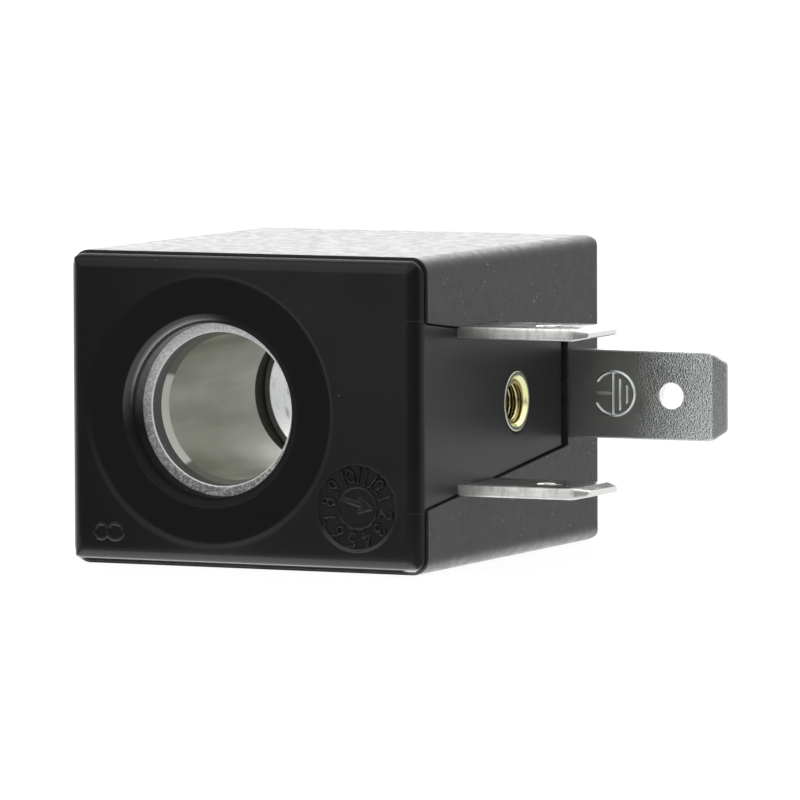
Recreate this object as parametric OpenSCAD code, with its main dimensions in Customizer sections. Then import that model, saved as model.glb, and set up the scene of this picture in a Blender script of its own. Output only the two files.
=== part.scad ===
// Encapsulated solenoid valve coil with three blade terminals.
// The bore runs along Y with the front face towards -Y, the blades point to +X and +Z is up.
// The origin is on the bore's axis, halfway through the body.

/* [Body] */
// Height of the body
body_height = 22; // [20:0.5:26]
// Bore axis to the plain side opposite the terminals
plain_reach = 11; // [10:0.2:14]
// Bore axis to the terminal side
terminal_reach = 16.4; // [15.8:0.2:20]
// Depth of the body, from the front face to the rear face
body_depth = 30.3; // [28:0.1:38]
// Radius of the four long edges
corner_r = 1.2; // [0.8:0.1:2]

/* [Outer shell] */
// Wall of the shell's four sides
shell_wall = 0.8; // [0.6:0.05:1.1]
// Wall of the shell's rear
rear_wall = 3.4; // [2.4:0.1:4]
// Radius of the edge round the rear face
rear_edge_r = 0.7; // [0.3:0.1:1]
// Opening in the rear wall, where the yoke shows
rear_hole_d = 12.2; // [11.6:0.1:13]

/* [Front moulding] */
// How far the front moulding stands out of the shell
front_stand = 1; // [0.8:0.1:1.8]
// How far the front moulding is set in from the shell's sides
front_inset = 0.2; // [0.1:0.05:0.4]
// Radius of the edge round the front face
front_edge_r = 0.9; // [0.4:0.1:0.9]
// Diameter of the shallow round seat in the front face
seat_d = 19.2; // [16:0.1:19.6]
// Depth of that seat
seat_depth = 0.15; // [0.05:0.05:0.3]
// Width of the sloped wall round that seat
seat_slope = 0.25; // [0.1:0.05:0.6]
// Hole in the front face, where the yoke plate shows
front_hole_d = 12.2; // [11.6:0.1:13]
// Radius of that hole's lip
front_lip_r = 0.75; // [0.2:0.05:0.9]
// Depth of the yoke plate behind the front face
plate_recess = 2; // [1.8:0.1:2.6]
// Diameter of the mould's date dial
dial_d = 6; // [4:0.2:7]
// Depth of the dial
dial_depth = 0.2; // [0.1:0.05:0.3]
// Bore axis to the dial, along the face
dial_x = 11.35; // [11:0.05:12]
// Bore axis to the dial, downwards
dial_drop = 6.4; // [5.6:0.1:6.4]

/* [Terminal tongue] */
// Height of the tongue where it leaves the front moulding
tongue_front_h = 12.9; // [12.4:0.1:14]
// Height of the tongue at its rear end
tongue_rear_h = 7.5; // [7:0.1:8.5]
// How deep the tongue's block reaches into the body
carrier_depth = 5.6; // [5.4:0.1:6]
// How much wider the block is inside the shell, on each edge
carrier_flare = 1; // [0.8:0.1:1.2]
// Tongue's end to the earth blade
earth_slot = 1; // [0.6:0.1:1.2]
// Shell left between the notch's end and the earth blade
notch_lip = 0.3; // [0.2:0.05:0.4]

/* [Bore] */
// Bore of the bobbin
bore_d = 10.2; // [9.6:0.1:10.4]
// Bore of the front yoke plate
plate_bore_d = 10.8; // [10.5:0.05:11.2]
// Chamfer on that bore's front edge
plate_chamfer = 0.1; // [0.05:0.05:0.2]
// Length of the lead-in at the front of the bobbin's bore
lead_in = 0.65; // [0.4:0.05:1.2]
// Wall of the bobbin's tube
tube_wall = 1.2; // [1.1:0.05:1.3]
// Thickness of the bobbin's flanges
flange_t = 1; // [0.8:0.1:1.4]
// How far the flux sleeve stands out behind the yoke
sleeve_stand = 0.7; // [0.3:0.1:1]
// Length of the flux sleeve
sleeve_length = 7.4; // [5:0.1:9]
// Wall of the flux sleeve
sleeve_wall = 0.4; // [0.3:0.05:0.5]
// Open groove ahead of the flux sleeve
sleeve_groove = 2.4; // [1:0.1:3]

/* [Yoke] */
// Thickness of the front plate
plate_t = 1.45; // [1.3:0.05:2.2]
// Width of the front plate
plate_width = 16.6; // [15.6:0.2:17]
// Thickness of the bent strip
strip_t = 1.2; // [1:0.1:1.5]
// Width of the bent strip
strip_width = 14; // [13:0.5:15]
// Outside radius of the yoke's bends
bend_r = 1.5; // [0.6:0.1:1.8]
// Width of the tenon that holds each limb in the front plate
tenon_width = 6; // [4:0.5:8]
// Height of the ear that carries the earth blade
ear_height = 7.2; // [6.6:0.2:8]

/* [Winding] */
// Diameter of the wire with its enamel
wire_d = 0.3; // [0.25:0.05:0.4]
// Thickness of the insulating tape round the winding
tape_t = 0.15; // [0.1:0.05:0.2]
// Diameter of the sleeving on the wire's two ends
sleeving_d = 0.9; // [0.7:0.1:1.1]

/* [Terminals] */
// Width of a blade
blade_width = 6.3; // [6:0.1:6.5]
// Thickness of a blade
blade_t = 0.8; // [0.6:0.05:0.9]
// Distance between the two live blades
live_pitch = 11; // [10.6:0.1:11.4]
// How far a live blade stands out
live_length = 9.5; // [8:0.1:12]
// How far the earth blade stands out
earth_length = 12; // [9:0.1:14]
// Front face to the near edge of the live blades
live_setback = 6.25; // [5.5:0.05:7]
// Hole in a blade
blade_hole_d = 1.8; // [1.4:0.1:2.2]
// Tip of a blade to the middle of its hole
blade_hole_back = 4.1; // [3:0.1:5]
// Length of the chamfer on a blade's tip corners, along the blade
chamfer_length = 1.2; // [0.5:0.1:1.4]
// Width of that chamfer, across the blade
chamfer_width = 0.75; // [0.4:0.05:1.2]
// Length of the thinned edge at a blade's tip
blade_bevel = 1; // [0.6:0.1:1.4]

/* [Screw insert] */
// Outside diameter of the insert
insert_d = 4.3; // [4:0.05:4.6]
// Hole of the insert, tapped for a 3 mm screw
insert_hole_d = 2.5; // [2.4:0.05:2.7]
// Length of the insert
insert_length = 5; // [4:0.1:5.2]
// Front face to the insert's axis
insert_setback = 16.3; // [15.2:0.1:17]

/* [Hidden] */
$fn = 96;

// Clearances: between slid or pressed pieces, round poured resin and round moulded-in blades, and a cut's
// overrun
slide_gap = 0.05;
resin_gap = 0.03;
blade_gap = 0.02;
cut = 1;
// Resin between the yoke and the shell's side walls
resin_skin = 0.35;
// Space between the yoke's limbs and the bobbin's flanges
window_gap = 0.1;

// Stations along Y, from the front face to the rear face
face_y = -body_depth / 2;
shell_front_y = face_y + front_stand;
plate_front_y = face_y + plate_recess;
plate_back_y = plate_front_y + plate_t;
rear_y = body_depth / 2;
cavity_end_y = rear_y - rear_wall;
rear_plate_y = cavity_end_y - strip_t;
coil_front_y = plate_back_y + flange_t;
coil_rear_y = rear_plate_y - flange_t;
sleeve_rear_y = cavity_end_y + sleeve_stand;
sleeve_front_y = sleeve_rear_y - sleeve_length;
groove_y = sleeve_front_y - sleeve_groove;
live_y = face_y + live_setback;
live_mid_y = live_y + blade_width / 2;
insert_y = face_y + insert_setback;
earth_y = rear_plate_y - blade_t;
tongue_end_y = earth_y - earth_slot;

// Half heights and reaches across the body
half_h = body_height / 2;
tongue_x = terminal_reach - front_inset;
carrier_x = tongue_x - carrier_depth;
cavity_x = terminal_reach - shell_wall;
limb_out_z = half_h - shell_wall - resin_skin;
limb_in_z = limb_out_z - strip_t;
side_in_x = plain_reach - shell_wall - resin_skin;
tail_length = 2.4;
flange_r = min(limb_in_z, side_in_x, carrier_x - tail_length) - window_gap;
tube_r = bore_d / 2 + tube_wall;
tape_r = flange_r - slide_gap;
winding_r = tape_r - tape_t;
sleeve_r = bore_d / 2 + sleeve_wall;
live_z = live_pitch / 2;

// The blades' tails, where the wire's ends are wrapped and soldered
tail_width = 1.2;
tail_end_x = carrier_x - tail_length;
wrap_turns = 3;
wrap_r = norm([tail_width, blade_t]) / 2 + slide_gap;
wrap_x = carrier_x - slide_gap - wrap_turns * wire_d;
solder_r = wrap_r + wire_d / 2;
solder_cap = 0.4;
solder_length = wrap_x - tail_end_x - slide_gap;

// The earth blade's ear and rivet
rivet_d = 1.6;
rivet_head_d = 3;
rivet_head_t = min(0.5, earth_slot - 2 * slide_gap);
ear_reach = 2;
ear_end_x = carrier_x + ear_reach;
earth_root_gap = 0.6;
earth_inner_x = flange_r + earth_root_gap;
rivet_x = (earth_inner_x + ear_end_x) / 2;

// Where the wire's two ends leave the winding
lead_z = 1.5;
start_stand = 0.45;
finish_back = 1.6;
start_out = [flange_r + start_stand, coil_front_y - flange_t / 2, lead_z];
start_in = [tube_r + wire_d, start_out[1], lead_z];
finish_in = [sqrt((tape_r + wire_d) ^ 2 - lead_z ^ 2), coil_front_y + finish_back, -lead_z];
flange_slot = sleeving_d + 2 * slide_gap;
chamber_margin = 2;
anchor_width = 4;
anchor_y = finish_in[1] + wire_d * 4;
bend_d = wire_d + slide_gap;

// Carries a profile drawn as (x, z) along Y
module along_y(y0, y1) {
    translate([0, y1, 0]) rotate([90, 0, 0]) linear_extrude(y1 - y0) children();
}

// Carries a profile drawn as (y, z) along X
module along_x(x0, x1) {
    translate([x0, 0, 0]) rotate([90, 0, 90]) linear_extrude(x1 - x0) children();
}

// Carries a profile drawn as (x, y) along Z
module along_z(z0, z1) {
    translate([0, 0, z0]) linear_extrude(z1 - z0) children();
}

// Turns a profile drawn as (radius, y) round the bore's axis
module about_bore(angle = 360) {
    rotate([-90, 0, 0]) rotate_extrude(angle = angle) children();
}

// A block between two corners
module block(low, high) {
    translate(low) cube(high - low);
}

// A round bar between two points
module rod(p, q, d) {
    v = q - p;
    translate(p)
        rotate([0, acos(v[2] / norm(v)), atan2(v[1], v[0])])
            cylinder(h = norm(v), d = d);
}

// Rectangle between two corners, in the plane
module plain_rect(low, high) {
    translate(low) square(high - low);
}

// Rectangle with four round corners
module round_rect(low, high, r) {
    plain_rect([low[0] + r, low[1]], [high[0] - r, high[1]]);
    plain_rect([low[0], low[1] + r], [high[0], high[1] - r]);
    for (x = [low[0] + r, high[0] - r], y = [low[1] + r, high[1] - r])
        translate([x, y]) circle(r);
}

// Rectangle whose two corners at the low or high end of its second axis are round
module half_round_rect(low, high, r, at_low) {
    end = at_low ? low[1] + r : high[1] - r;
    plain_rect([low[0] + r, low[1]], [high[0] - r, high[1]]);
    plain_rect([low[0], at_low ? end : low[1]], [high[0], at_low ? high[1] : end]);
    for (x = [low[0] + r, high[0] - r]) translate([x, end]) circle(r);
}

// The body's outline seen from the front, set in by the given amount
module outline(inset) {
    round_rect([-plain_reach + inset, -half_h + inset], [terminal_reach - inset, half_h - inset],
        max(corner_r - inset, 0.3));
}

// A block of that outline whose front or rear edge is rounded
module edged_block(inset, y0, y1, edge_r, front) {
    low_x = -plain_reach + inset;
    high_x = terminal_reach - inset;
    high_z = half_h - inset;
    intersection() {
        along_y(y0, y1) outline(inset);
        along_z(-half_h, half_h) half_round_rect([low_x, y0], [high_x, y1], edge_r, front);
        along_x(-plain_reach, terminal_reach)
            rotate(-90) mirror([1, 0]) half_round_rect([-high_z, y0], [high_z, y1], edge_r, front);
    }
}

// The tongue's tapered outline, drawn as (y, z) and widened by the given amount on each edge
module taper(y0, y1, grow) {
    slope = (tongue_rear_h - tongue_front_h) / 2 / (tongue_end_y - shell_front_y);
    z0 = tongue_front_h / 2 + slope * (y0 - shell_front_y) + grow;
    z1 = tongue_front_h / 2 + slope * (y1 - shell_front_y) + grow;
    polygon([[y0, -z0], [y1, -z1], [y1, z1], [y0, z0]]);
}

// Slots for the two live blades between two planes across X
module live_slots(x0, x1, gap) {
    for (side = [-1, 1])
        block([x0, live_y - gap, side * live_z - blade_t / 2 - gap],
            [x1, live_y + blade_width + gap, side * live_z + blade_t / 2 + gap]);
}

// Slot for the earth blade between two planes across X
module earth_slot_cut(x0, x1, gap) {
    block([x0, earth_y - gap, -blade_width / 2 - gap], [x1, rear_plate_y + gap, blade_width / 2 + gap]);
}

// A hole through an end face, with a round lip on its outer side
module lipped_hole(d, y_out, y_in, lip_r) {
    towards = sign(y_in - y_out);
    about_bore() difference() {
        plain_rect([0, min(y_out - towards * cut, y_in)],
            [d / 2 + lip_r, max(y_out - towards * cut, y_in)]);
        plain_rect([d / 2, min(y_out + towards * lip_r, y_in + towards)],
            [d / 2 + 2 * lip_r, max(y_out + towards * lip_r, y_in + towards)]);
        translate([d / 2 + lip_r, y_out + towards * lip_r]) circle(lip_r);
    }
}

// Moulded can, closed at the rear, with a tapered notch in its terminal side
module outer_shell() {
    color("#2c2c2e") difference() {
        edged_block(0, shell_front_y, rear_y, rear_edge_r, false);
        along_y(shell_front_y - cut, cavity_end_y) outline(shell_wall);
        lipped_hole(rear_hole_d, rear_y, cavity_end_y - cut, front_lip_r);
        along_x(cavity_x - cut, terminal_reach + cut)
            taper(shell_front_y - cut, earth_y - notch_lip, slide_gap);
        live_slots(cavity_x - cut, terminal_reach + cut, blade_gap);
        earth_slot_cut(cavity_x - cut, terminal_reach + cut, blade_gap);
    }
}

// Front cap with its tongue, which carries the live blades and the screw insert
module front_moulding() {
    color("#1d1d1f") difference() {
        union() {
            edged_block(front_inset, face_y, shell_front_y, front_edge_r, true);
            along_y(shell_front_y, plate_front_y) outline(shell_wall + slide_gap);
            along_x(cavity_x - slide_gap, tongue_x) taper(shell_front_y, tongue_end_y, 0);
            along_x(carrier_x, cavity_x - slide_gap) taper(plate_front_y, tongue_end_y, carrier_flare);
        }
        lipped_hole(front_hole_d, face_y + seat_depth, plate_front_y + cut, front_lip_r);
        about_bore() polygon([
            [0, face_y - cut], [seat_d / 2, face_y - cut], [seat_d / 2, face_y],
            [seat_d / 2 - seat_slope, face_y + seat_depth], [0, face_y + seat_depth]
        ]);
        translate([dial_x, face_y + dial_depth, -dial_drop])
            rotate([90, 0, 0]) cylinder(h = dial_depth + cut, d = dial_d);
        live_slots(carrier_x - cut, terminal_reach + cut, blade_gap);
        translate([tongue_x - insert_length, insert_y, 0])
            rotate([0, 90, 0]) cylinder(h = insert_length + cut, d = insert_d + 2 * slide_gap);
    }
}

// Resin that fills the can round the yoke and the winding
module potting_resin() {
    color("#26262a") difference() {
        along_y(plate_front_y + resin_gap, cavity_end_y - resin_gap) outline(shell_wall + resin_gap);
        along_y(plate_front_y, plate_back_y + resin_gap) front_plate_outline(resin_gap);
        along_x(-strip_width / 2 - resin_gap, strip_width / 2 + resin_gap) bracket_envelope(resin_gap);
        about_bore() plain_rect([0, plate_back_y - cut], [flange_r + resin_gap, cavity_end_y + cut]);
        ear_block(resin_gap, cavity_end_y + cut);
        earth_slot_cut(earth_inner_x - resin_gap, terminal_reach, resin_gap);
        rivet_head(resin_gap);
        along_x(carrier_x - resin_gap, terminal_reach)
            taper(plate_front_y, tongue_end_y + resin_gap, carrier_flare + resin_gap);
        lead_chamber();
    }
}

// Space left round the wire's two ends, between the winding and the tongue's block
module lead_chamber() {
    high_z = live_z + chamber_margin;
    block([0, plate_back_y, -high_z], [carrier_x, live_mid_y + chamber_margin, high_z]);
}

// Moulded former: a tube with two flanges, bored for the valve's tube and the flux sleeve
module bobbin() {
    color("#c9c9bd") difference() {
        about_bore() difference() {
            union() {
                plain_rect([bore_d / 2, plate_back_y], [tube_r, rear_plate_y]);
                plain_rect([tube_r - cut / 4, plate_back_y], [flange_r, coil_front_y]);
                plain_rect([tube_r - cut / 4, coil_rear_y], [flange_r, rear_plate_y]);
            }
            plain_rect([0, groove_y], [sleeve_r + slide_gap, rear_y]);
            polygon([
                [0, plate_back_y], [plate_bore_d / 2, plate_back_y],
                [bore_d / 2, plate_back_y + lead_in], [0, plate_back_y + lead_in]
            ]);
        }
        block([tube_r, plate_back_y - cut, lead_z - flange_slot / 2],
            [flange_r + cut, coil_front_y + cut, lead_z + flange_slot / 2]);
    }
}

// Section through wire wound side by side, drawn as (radius, along), with a ridge for each turn
module wound_section(r_in, r_out, start, turns, pitch) {
    valley = wire_d / 4;
    ridges = [for (i = [0:turns - 1]) each [
        [r_out - valley, start + pitch * i], [r_out, start + pitch * (i + 0.5)]
    ]];
    finish = start + pitch * turns;
    polygon(concat([[r_in, start]], ridges, [[r_out - valley, finish], [r_in, finish]]));
}

// Copper wire in layers; the outer layer's turns show as a row of ridges
module winding() {
    length = coil_rear_y - coil_front_y - 2 * slide_gap;
    turns = floor(length / wire_d);
    color("#b4683a") about_bore() wound_section(
        tube_r + slide_gap, winding_r - slide_gap, coil_front_y + slide_gap, turns, length / turns);
}

// Insulating tape wrapped round the winding
module winding_tape() {
    color("#d8b64a") about_bore()
        plain_rect([winding_r, coil_front_y + slide_gap], [tape_r, coil_rear_y - slide_gap]);
}

// Short strip of tape that ties the wire's outer end down
module lead_anchor_tape() {
    span = 50;
    color("#d8b64a") rotate([0, span / 2, 0]) about_bore(span)
        plain_rect([tape_r, anchor_y], [tape_r + slide_gap, anchor_y + anchor_width]);
}

// Outline of the front yoke plate before its notches, grown by the given amount
module front_plate_outline(grow) {
    plain_rect([-plate_width / 2 - grow, -limb_out_z - grow], [plate_width / 2 + grow, limb_out_z + grow]);
}

// Steel plate at the front, seen in the hole of the front moulding
module front_yoke_plate() {
    color("#b9bcbc") difference() {
        along_y(plate_front_y, plate_back_y) difference() {
            front_plate_outline(0);
            circle(d = plate_bore_d);
            for (side = [-1, 1])
                translate([0, side * limb_out_z])
                    square([tenon_width + 2 * slide_gap, 2 * (strip_t + slide_gap)], center = true);
        }
        about_bore() polygon([
            [0, plate_front_y - cut], [plate_bore_d / 2 + plate_chamfer + cut, plate_front_y - cut],
            [plate_bore_d / 2, plate_front_y + plate_chamfer], [0, plate_front_y + plate_chamfer]
        ]);
    }
}

// The yoke bracket's full profile, drawn as (y, z), grown by the given amount
module bracket_envelope(grow) {
    difference() {
        plain_rect([plate_front_y - grow, -limb_out_z - grow], [cavity_end_y + cut, limb_out_z + grow]);
        plain_rect([plate_front_y - cut, -limb_in_z + grow], [rear_plate_y - grow, limb_in_z - grow]);
    }
}

// The yoke's ear behind the earth blade, ending at the given plane
module ear_block(grow, y1) {
    block([0, rear_plate_y - grow, -ear_height / 2 - grow], [ear_end_x + grow, y1, ear_height / 2 + grow]);
}

// Bent steel strip: a rear plate, two limbs with tenons, and the ear for the earth blade
module yoke_bracket() {
    color("#9ea2a4") difference() {
        union() {
            along_x(-strip_width / 2, strip_width / 2) difference() {
                rotate(-90) mirror([1, 0]) half_round_rect(
                    [-limb_out_z, plate_back_y], [limb_out_z, cavity_end_y], bend_r, false);
                plain_rect([plate_back_y - cut, -limb_in_z], [rear_plate_y, limb_in_z]);
            }
            for (side = [-1, 1])
                block([-tenon_width / 2, plate_front_y, side > 0 ? limb_in_z + slide_gap : -limb_out_z],
                    [tenon_width / 2, plate_back_y + cut, side > 0 ? limb_out_z : -limb_in_z - slide_gap]);
            ear_block(0, cavity_end_y);
        }
        about_bore() plain_rect([0, rear_plate_y - cut], [sleeve_r + slide_gap / 2, rear_y]);
        translate([rivet_x, rear_plate_y - cut, 0])
            rotate([-90, 0, 0]) cylinder(h = strip_t + 2 * cut, d = rivet_d + 2 * slide_gap);
    }
}

// Thin steel sleeve that carries the flux from the rear plate into the bobbin
module flux_sleeve() {
    color("#c4c6c4") about_bore()
        plain_rect([bore_d / 2, sleeve_front_y], [sleeve_r, sleeve_rear_y]);
}

// Outline of a blade, drawn as (x, across), from its root to its chamfered tip
module blade_outline(root_x, tip_x) {
    half = blade_width / 2;
    difference() {
        polygon([
            [root_x, -half], [tip_x - chamfer_length, -half], [tip_x, -half + chamfer_width],
            [tip_x, half - chamfer_width], [tip_x - chamfer_length, half], [root_x, half]
        ]);
        translate([tip_x - blade_hole_back, 0]) circle(d = blade_hole_d);
    }
}

// Profile of a blade's thickness, drawn as (x, thickness), thinned at its tip
module blade_profile(root_x, tip_x) {
    half = blade_t / 2;
    polygon([
        [root_x, -half], [tip_x - blade_bevel, -half], [tip_x, -half / 2],
        [tip_x, half / 2], [tip_x - blade_bevel, half], [root_x, half]
    ]);
}

// One live blade lying across Z, with the tail for the wire
module live_blade(side) {
    tip_x = terminal_reach + live_length;
    color("#d9dadb") translate([0, live_mid_y, side * live_z]) {
        intersection() {
            along_z(-blade_t, blade_t) blade_outline(carrier_x, tip_x);
            along_y(-blade_width, blade_width) blade_profile(carrier_x, tip_x);
        }
        block([tail_end_x, -tail_width / 2, -blade_t / 2], [carrier_x + cut, tail_width / 2, blade_t / 2]);
    }
}

module live_blade_upper() {
    live_blade(1);
}

module live_blade_lower() {
    live_blade(-1);
}

// Earth blade standing across Y, riveted to the yoke's ear
module earth_blade() {
    tip_x = terminal_reach + earth_length;
    color("#8f9392") translate([0, earth_y + blade_t / 2, 0]) difference() {
        intersection() {
            along_y(-blade_t, blade_t) blade_outline(earth_inner_x, tip_x);
            along_z(-blade_width, blade_width) blade_profile(earth_inner_x, tip_x);
        }
        translate([rivet_x, -blade_t, 0])
            rotate([-90, 0, 0]) cylinder(h = 2 * blade_t, d = rivet_d + 2 * slide_gap);
    }
}

// The earth rivet's head, grown by the given amount
module rivet_head(grow) {
    translate([rivet_x, earth_y - rivet_head_t - grow, 0])
        rotate([-90, 0, 0]) cylinder(h = rivet_head_t + grow, d = rivet_head_d + 2 * grow);
}

// Rivet that holds the earth blade on the yoke's ear
module earth_rivet() {
    color("#a8a8a6") {
        rivet_head(0);
        translate([rivet_x, earth_y - rivet_head_t, 0])
            rotate([-90, 0, 0]) cylinder(h = cavity_end_y - earth_y + rivet_head_t, d = rivet_d);
    }
}

// Brass insert for the connector's screw, with two retaining grooves
module threaded_insert() {
    groove = 0.3;
    r = insert_d / 2;
    color("#c9a24c") translate([tongue_x, insert_y, 0]) rotate([0, -90, 0]) rotate_extrude() difference() {
        plain_rect([insert_hole_d / 2, 0], [r, insert_length]);
        for (share = [0.35, 0.7])
            plain_rect([r - groove, share * insert_length], [r + cut, share * insert_length + 2 * groove]);
        polygon([
            [0, -cut], [r - groove, -cut], [insert_hole_d / 2 + groove, 0],
            [insert_hole_d / 2, groove], [0, groove]
        ]);
    }
}

// Where a lead joins its turns round a blade's tail
function wrap_point(side) = [wrap_x + wire_d / 2, live_mid_y, side * (live_z - wrap_r - wire_d / 2)];

// Turns of wire wrapped round a blade's tail
module wrap(side) {
    translate([wrap_x, live_mid_y, side * live_z]) rotate([0, 90, 0]) rotate_extrude()
        wound_section(wrap_r, wrap_r + wire_d, 0, wrap_turns, wire_d);
}

// Wire from the innermost layer, out through the flange's slot to the upper blade
module start_lead() {
    color("#b4683a") {
        rod(start_in, start_out, wire_d);
        translate(start_out) sphere(d = bend_d);
        rod(start_out, wrap_point(1), wire_d);
        wrap(1);
    }
}

// Wire from the outermost layer to the lower blade
module finish_lead() {
    color("#b4683a") {
        translate(finish_in) sphere(d = bend_d);
        rod(finish_in, wrap_point(-1), wire_d);
        wrap(-1);
    }
}

// Insulating sleeving on a lead, over the given share of its length
module sleeving(p, q, share) {
    color("#e4dcc4") difference() {
        rod(p + (q - p) * share[0], p + (q - p) * share[1], sleeving_d);
        rod(p, q, wire_d + 2 * slide_gap);
    }
}

module start_sleeving() {
    sleeving(start_out, wrap_point(1), [0.15, 0.8]);
}

module finish_sleeving() {
    sleeving(finish_in, wrap_point(-1), [0.15, 0.75]);
}

// A bead of solder over the end of each blade's tail, fullest where the tail ends
module solder_joints() {
    color("#cfd2d4") for (side = [-1, 1])
        translate([tail_end_x, live_mid_y, side * live_z]) difference() {
            rotate([0, 90, 0]) rotate_extrude() polygon([
                [0, -solder_cap], [solder_r * 0.7, -solder_cap * 0.6], [solder_r, 0],
                [solder_r, solder_length * 0.6], [solder_r * 0.8, solder_length], [0, solder_length]
            ]);
            block([-slide_gap, -tail_width / 2 - slide_gap, -blade_t / 2 - slide_gap],
                [solder_length + cut, tail_width / 2 + slide_gap, blade_t / 2 + slide_gap]);
        }
}

outer_shell();
front_moulding();
potting_resin();
bobbin();
winding();
winding_tape();
lead_anchor_tape();
front_yoke_plate();
yoke_bracket();
flux_sleeve();
live_blade_upper();
live_blade_lower();
earth_blade();
earth_rivet();
threaded_insert();
start_lead();
finish_lead();
start_sleeving();
finish_sleeving();
solder_joints();
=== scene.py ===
"""Finishes, blades, screw insert and mould marks of an encapsulated solenoid valve coil."""

import math
from functools import cache, partial

import bpy
import numpy as np
from bpy.props import FloatProperty, FloatVectorProperty, PointerProperty
from mathutils import Matrix, Vector


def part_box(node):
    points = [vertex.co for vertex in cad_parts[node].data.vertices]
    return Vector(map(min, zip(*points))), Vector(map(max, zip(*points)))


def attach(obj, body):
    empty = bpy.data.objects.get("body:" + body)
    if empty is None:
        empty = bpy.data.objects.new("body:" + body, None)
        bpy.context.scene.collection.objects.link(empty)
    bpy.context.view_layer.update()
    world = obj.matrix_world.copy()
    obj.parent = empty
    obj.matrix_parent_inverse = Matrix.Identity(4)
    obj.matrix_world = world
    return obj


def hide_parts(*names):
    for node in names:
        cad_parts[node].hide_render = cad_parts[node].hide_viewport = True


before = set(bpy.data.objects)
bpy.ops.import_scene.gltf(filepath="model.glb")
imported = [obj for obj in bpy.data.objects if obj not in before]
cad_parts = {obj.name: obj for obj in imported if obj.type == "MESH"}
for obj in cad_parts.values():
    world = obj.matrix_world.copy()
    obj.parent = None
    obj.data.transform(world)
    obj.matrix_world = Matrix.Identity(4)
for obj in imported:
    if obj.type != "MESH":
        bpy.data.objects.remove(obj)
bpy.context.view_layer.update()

bl_info = {
    "name": "Solenoid valve coil",
    "version": (1, 0, 0),
    "blender": (4, 5, 0),
    "location": "3D View > Sidebar > Coil",
    "description": "Finishes and fine shapes of an encapsulated solenoid valve coil",
    "category": "Object",
}

MM = 0.001


def corners_mm(node):
    """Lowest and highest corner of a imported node, in millimetres."""
    low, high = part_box(node)
    return np.array(low) / MM, np.array(high) / MM


SHELL_LOW, SHELL_HIGH = corners_mm("outer_shell")
FRONT_LOW, FRONT_HIGH = corners_mm("front_moulding")
INSERT_LOW, INSERT_HIGH = corners_mm("threaded_insert")
EARTH_LOW, EARTH_HIGH = corners_mm("earth_blade")
PLATE_LOW, PLATE_HIGH = corners_mm("front_yoke_plate")
SLEEVE_LOW, _ = corners_mm("flux_sleeve")

# Colours that no setting holds
WHITE = (1.0, 1.0, 1.0, 1.0)
GROOVE_DARK = (0.05, 0.05, 0.036, 1.0)
# Painted highlight on the lit side of the bobbin's lead-in
LEAD_IN_HIGHLIGHT = (0.98, 0.97, 0.91, 1.0)
SLEEVE_STAIN = (0.42, 0.41, 0.36, 1.0)
# Painted reflection of the white background in the earth blade's hole wall
HOLE_WALL_REFLECTION = (0.96, 0.96, 0.96, 1.0)
BRASS_CHAMFER = (0.82, 0.84, 0.45, 1.0)
# Painted shade in the insert's thread roots
BRASS_ROOT_SHADE = (0.3, 0.24, 0.09, 1.0)
BRASS_RIM = (0.58, 0.57, 0.46, 1.0)
OLIVE_SHARES = (0.47, 0.48, 0.42)
BROWN_SHARES = (0.62, 0.58, 0.5)
RESIN_BLACK = (0.02, 0.02, 0.022)
TAPE_YELLOW = (0.72, 0.50, 0.09)
SLEEVING_CREAM = (0.75, 0.70, 0.58)
SOLDER_GREY = (0.66, 0.67, 0.68)


# Settings a user may change

def length(text, value):
    """A setting held in millimetres."""
    return FloatProperty(description=f"{text}, in millimetres", default=value, min=0.0, precision=3)


def share(text, value):
    """A setting between none and all."""
    return FloatProperty(description=text, default=value, min=0.0, max=1.0, subtype="FACTOR")


def level(text, value):
    """A brightness."""
    return FloatProperty(description=text, default=value, min=0.0)


def angle(text, degrees):
    """An angle, given in degrees."""
    return FloatProperty(description=text, default=math.radians(degrees), subtype="ANGLE", unit="ROTATION")


def tint(text, value):
    """A colour."""
    return FloatVectorProperty(description=text, default=value, size=3, min=0.0, max=1.0, subtype="COLOR")


class CoilPlastics(bpy.types.PropertyGroup):
    shell: tint("Colour of the shell", (0.0202, 0.0202, 0.0208))
    shell_rough: share("Roughness of the shell", 0.4)
    front: tint("Colour of the front moulding", (0.0136, 0.0136, 0.0139))
    front_rough: share("Roughness of the front moulding", 0.15)
    seat: length("Radius of the front face's seat", 9.4)
    lip: length("Outer radius of the front hole's lip", 6.65)
    parting: length("Bore axis to the parting lines", 6.65)
    bobbin: tint("Colour of the bobbin's plastic", (0.76, 0.76, 0.68))
    groove: length("Dark groove ahead of the flux sleeve", 2.4)
    lead_in: length("Length of the bobbin's lead-in", 0.65)
    dust: tint("Colour of the dust on the shell", (0.62, 0.62, 0.60))
    edge: length("Radius of the shell's and the marks' edges", 0.1)
    soft: length("Radius of the front moulding's edges", 0.3)


class CoilMetals(bpy.types.PropertyGroup):
    zinc: tint("Colour of the plated yoke", (0.74, 0.76, 0.75))
    tin: tint("Colour of the live blades' tin", (0.96, 0.96, 0.935))
    earth: tint("Colour of the earth blade's plating", (0.264, 0.275, 0.271))
    brass: tint("Colour of the screw insert", (0.70, 0.65, 0.37))
    copper: tint("Colour of the enamelled wire", (0.62, 0.27, 0.12))
    plate_bore: length("Diameter of the front yoke plate's bore", 10.8)


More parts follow.
